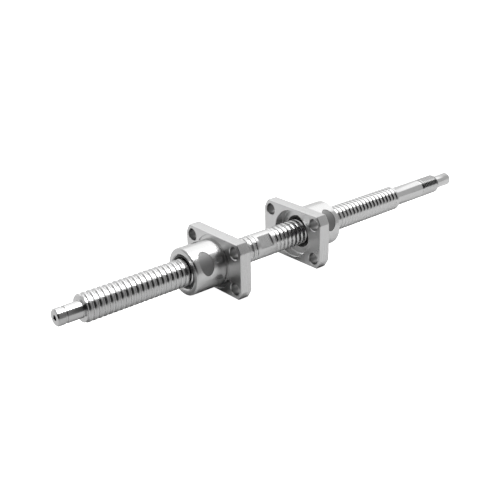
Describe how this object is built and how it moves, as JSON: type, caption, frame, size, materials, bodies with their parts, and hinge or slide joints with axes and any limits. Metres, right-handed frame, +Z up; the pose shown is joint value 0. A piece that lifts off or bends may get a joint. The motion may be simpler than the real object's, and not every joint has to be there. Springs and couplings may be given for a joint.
{
  "type": "bi-directional ball screw assembly",
  "caption": "Miniature ball screw with left-hand and right-hand thread halves and two flanged ball nuts that move apart or together as it turns.",
  "frame": {"origin": "centre of the overall box, on the screw's axis halfway along its length", "axes": "+X along the screw from the support end, which has the left-hand thread, to the drive end, which has the right-hand thread; Y across the wide sides of the nut flanges; +Z up, square to the flanges' long flat edges, on which the part can stand"},
  "size_m": [0.1976, 0.0316, 0.021],
  "materials": {
    "screw_steel": "hardened and ground, bright",
    "nut_steel": "hardened and ground, satin bright",
    "deflector_steel": "dark grey, matt, as sintered",
    "wiper_plastic": "dark grey moulded",
    "ball_steel": "polished bearing steel"
  },
  "bodies": {
    "screw": {"screw_shaft": "screw_steel"},
    "left_wipers": {"left_outer_wiper": "wiper_plastic", "left_inner_wiper": "wiper_plastic"},
    "left_nut": {"left_nut": "nut_steel", "left_deflector_1": "deflector_steel", "left_ball_row_1": "ball_steel", "left_return_balls_1": "ball_steel", "left_deflector_2": "deflector_steel", "left_ball_row_2": "ball_steel", "left_return_balls_2": "ball_steel", "left_deflector_3": "deflector_steel", "left_ball_row_3": "ball_steel", "left_return_balls_3": "ball_steel"},
    "right_wipers": {"right_outer_wiper": "wiper_plastic", "right_inner_wiper": "wiper_plastic"},
    "right_nut": {"right_nut": "nut_steel", "right_deflector_1": "deflector_steel", "right_ball_row_1": "ball_steel", "right_return_balls_1": "ball_steel", "right_deflector_2": "deflector_steel", "right_ball_row_2": "ball_steel", "right_return_balls_2": "ball_steel", "right_deflector_3": "deflector_steel", "right_ball_row_3": "ball_steel", "right_return_balls_3": "ball_steel"}
  },
  "joints": [
    {"name": "left_nut_travel", "type": "slide", "parent": "screw", "child": "left_wipers", "axis": [1, 0, 0], "range_m": [-0.038, 0.011]},
    {"name": "left_nut_turn", "type": "hinge", "parent": "left_wipers", "child": "left_nut", "pos_m": [-0.03095, 0, 0], "axis": [1, 0, 0], "range_deg": [-1980, 6840]},
    {"name": "right_nut_travel", "type": "slide", "parent": "screw", "child": "right_wipers", "axis": [1, 0, 0], "range_m": [-0.011, 0.038]},
    {"name": "right_nut_turn", "type": "hinge", "parent": "right_wipers", "child": "right_nut", "pos_m": [0.00265, 0, 0], "axis": [1, 0, 0], "range_deg": [-1981, 6841]}
  ],
  "couplings": [
    {"joint": "left_nut_travel", "follows": "left_nut_turn", "m_per_rad": -0.00031831},
    {"joint": "right_nut_turn", "follows": "left_nut_turn", "ratio": 1},
    {"joint": "right_nut_travel", "follows": "left_nut_turn", "m_per_rad": 0.00031831}
  ]
}
